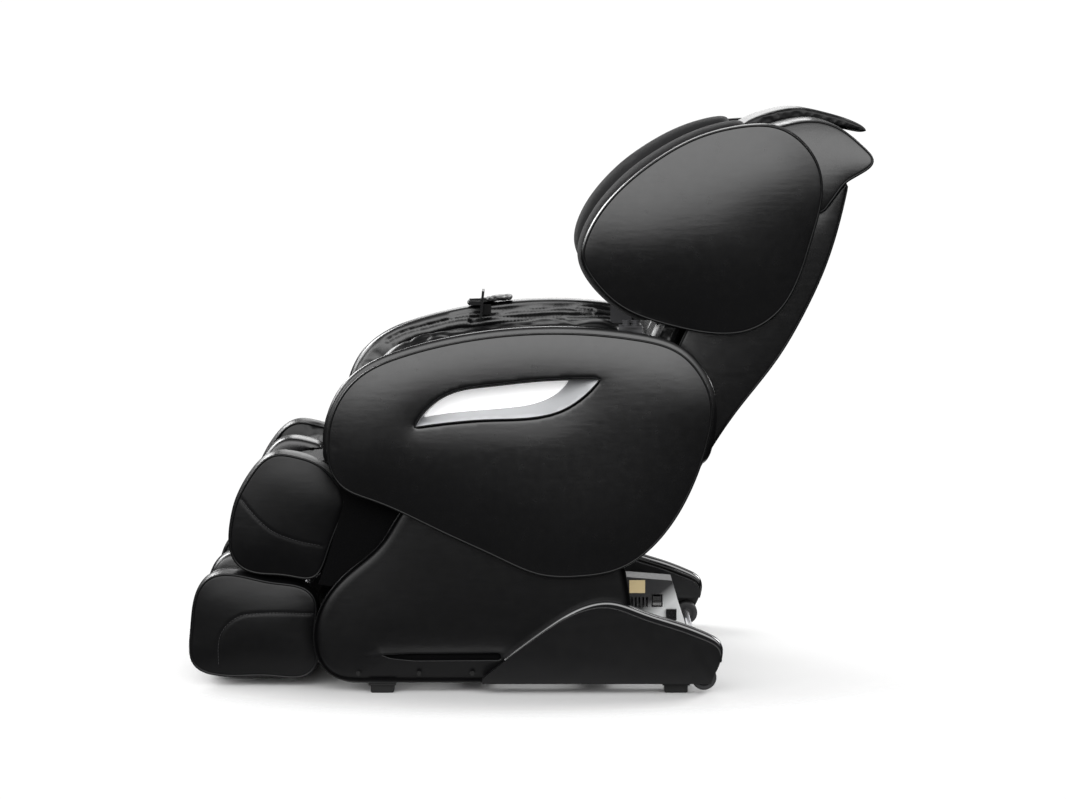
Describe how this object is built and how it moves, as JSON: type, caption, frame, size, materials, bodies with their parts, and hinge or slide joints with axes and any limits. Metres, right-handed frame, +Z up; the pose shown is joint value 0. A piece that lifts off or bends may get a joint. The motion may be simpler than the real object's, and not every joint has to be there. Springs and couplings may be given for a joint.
{
  "type": "massage chair",
  "caption": "Reclining massage chair with padded side arms, shoulder wings, calf and foot channels and a wheeled base.",
  "frame": {"origin": "on the floor under the middle of the chair's bounding box, to within 7 mm front to back", "axes": "+Z up; the sitter faces -Y; +X is the sitter's left"},
  "size_m": [0.756, 1.3641, 1.147],
  "materials": {
    "leather_black": "fine-grained upholstery leather, satin",
    "fabric_charcoal": "brushed knitted fabric, matte",
    "silver_liner": "silver painted moulding, satin",
    "gloss_black": "piano black",
    "moulded_black": "fine-textured moulding",
    "frame_steel": "black powder coat",
    "plated_steel": "zinc plated",
    "actuator_grey": "satin grey paint",
    "rubber_black": "moulded rubber",
    "wheel_grey": "moulded wheel, satin",
    "box_grey": "light grey powder coat",
    "plate_tan": "plain plate, satin",
    "switch_black": "moulded switch",
    "head_tan": "acetal rollers, satin",
    "coupling_dark": "dark moulded fittings"
  },
  "bodies": {
    "base": {"base_frame": "frame_steel", "seat_pivot_pins": "plated_steel", "front_cover": "moulded_black", "feet": "rubber_black", "wheel_axle": "plated_steel", "side_cover_left": "leather_black", "side_cover_right": "leather_black", "rear_skirt_left": "moulded_black", "rear_skirt_right": "moulded_black", "skirt_trims": "gloss_black", "cover_screws": "frame_steel", "power_box": "box_grey", "power_inlet": "moulded_black", "rating_plate": "plate_tan", "air_pump": "actuator_grey"},
    "rocker": {"power_switch": "switch_black"},
    "wheel_left": {"wheel_left": "wheel_grey"},
    "wheel_right": {"wheel_right": "wheel_grey"},
    "tilt_actuator": {"tilt_actuator_body": "actuator_grey"},
    "tilt_rod": {"tilt_actuator_rod": "plated_steel"},
    "seat": {"seat_frame": "frame_steel", "recline_pins": "plated_steel", "seat_pan": "moulded_black", "seat_valances": "moulded_black", "seat_cushion": "leather_black", "arm_pod_left": "leather_black", "arm_pod_right": "leather_black", "arm_liners": "silver_liner", "forearm_pads": "leather_black", "remote_holder": "moulded_black", "holder_strap": "leather_black", "hose_couplings": "coupling_dark", "recline_actuator_body": "actuator_grey", "leg_actuator_body": "actuator_grey"},
    "recline_rod": {"recline_actuator_rod": "plated_steel"},
    "leg_rod": {"leg_actuator_rod": "plated_steel"},
    "back": {"back_frame": "frame_steel", "track_rails": "plated_steel", "back_shell": "leather_black", "back_pad": "leather_black", "head_cap": "leather_black", "head_pillow": "leather_black", "wing_left": "leather_black", "wing_right": "leather_black", "wing_pads": "fabric_charcoal"},
    "screw": {"lead_screw": "plated_steel"},
    "carriage": {"carriage_frame": "plated_steel", "guide_rollers": "head_tan"},
    "knead": {"knead_shaft": "plated_steel"},
    "massage_left": {"massage_arm_left": "head_tan"},
    "massage_right": {"massage_arm_right": "head_tan"},
    "calf": {"calf_core": "moulded_black", "calf_walls": "leather_black", "calf_pads": "fabric_charcoal", "leg_hinge_rod": "plated_steel"},
    "foot": {"foot_core": "moulded_black", "slide_rods": "plated_steel", "foot_walls": "leather_black", "foot_pads": "fabric_charcoal"},
    "roller": {"foot_roller": "head_tan"}
  },
  "joints": [
    {"name": "seat_tilt", "type": "hinge", "parent": "base", "child": "seat", "pos_m": [0, 0.12, 0.24], "axis": [-1, 0, 0], "range_deg": [0, 18]},
    {"name": "back_recline", "type": "hinge", "parent": "seat", "child": "back", "pos_m": [0, 0.17, 0.33], "axis": [-1, 0, 0], "range_deg": [0, 42]},
    {"name": "leg_lift", "type": "hinge", "parent": "seat", "child": "calf", "pos_m": [0, -0.442, 0.408], "axis": [-1, 0, 0], "range_deg": [0, 85]},
    {"name": "foot_extend", "type": "slide", "parent": "calf", "child": "foot", "axis": [0, -0.2501, -0.9682], "range_m": [0, 0.11]},
    {"name": "foot_roller_spin", "type": "hinge", "parent": "foot", "child": "roller", "pos_m": [0, -0.56, 0.064], "axis": [1, 0, 0], "continuous": true},
    {"name": "carriage_slide", "type": "slide", "parent": "back", "child": "carriage", "axis": [0, 0.4226, 0.9063], "range_m": [-0.2, 0.14]},
    {"name": "screw_spin", "type": "hinge", "parent": "back", "child": "screw", "pos_m": [0, 0.20682, 0.40858], "axis": [0, 0.4226, 0.9063], "continuous": true},
    {"name": "knead_spin", "type": "hinge", "parent": "carriage", "child": "knead", "pos_m": [0, 0.29096, 0.66947], "axis": [1, 0, 0], "continuous": true},
    {"name": "massage_arm_left_swing", "type": "hinge", "parent": "carriage", "child": "massage_left", "pos_m": [0, 0.32671, 0.70355], "axis": [1, 0, 0], "range_deg": [-5, 5]},
    {"name": "massage_arm_right_swing", "type": "hinge", "parent": "carriage", "child": "massage_right", "pos_m": [0, 0.32671, 0.70355], "axis": [1, 0, 0], "range_deg": [-5, 5]},
    {"name": "wheel_left_spin", "type": "hinge", "parent": "base", "child": "wheel_left", "pos_m": [0.333, 0.338, 0.031], "axis": [1, 0, 0], "continuous": true},
    {"name": "wheel_right_spin", "type": "hinge", "parent": "base", "child": "wheel_right", "pos_m": [-0.333, 0.338, 0.031], "axis": [1, 0, 0], "continuous": true},
    {"name": "power_switch_rock", "type": "hinge", "parent": "base", "child": "rocker", "pos_m": [-0.1915, 0.268, 0.084], "axis": [0, 1, 0], "range_deg": [-7, 7]},
    {"name": "tilt_actuator_swing", "type": "hinge", "parent": "base", "child": "tilt_actuator", "pos_m": [0.11, -0.06, 0.076], "axis": [-1, 0, 0], "range_deg": [0, 18]},
    {"name": "tilt_rod_slide", "type": "slide", "parent": "tilt_actuator", "child": "tilt_rod", "axis": [0, -0.7464, 0.6655], "range_m": [0, 0.08]},
    {"name": "recline_rod_slide", "type": "slide", "parent": "seat", "child": "recline_rod", "axis": [0, -1, 0], "range_m": [0, 0.068]},
    {"name": "leg_rod_slide", "type": "slide", "parent": "seat", "child": "leg_rod", "axis": [0, -1, 0], "range_m": [0, 0.085]}
  ],
  "couplings": [
    {"joint": "tilt_actuator_swing", "follows": "seat_tilt", "ratio": 0.96745},
    {"joint": "tilt_rod_slide", "follows": "seat_tilt", "m_per_rad": 0.24223},
    {"joint": "recline_rod_slide", "follows": "back_recline", "m_per_rad": 0.087998},
    {"joint": "leg_rod_slide", "follows": "leg_lift", "m_per_rad": 0.054647},
    {"joint": "screw_spin", "follows": "carriage_slide", "rad_per_m": 314.16},
    {"joint": "massage_arm_right_swing", "follows": "massage_arm_left_swing", "ratio": -1}
  ]
}
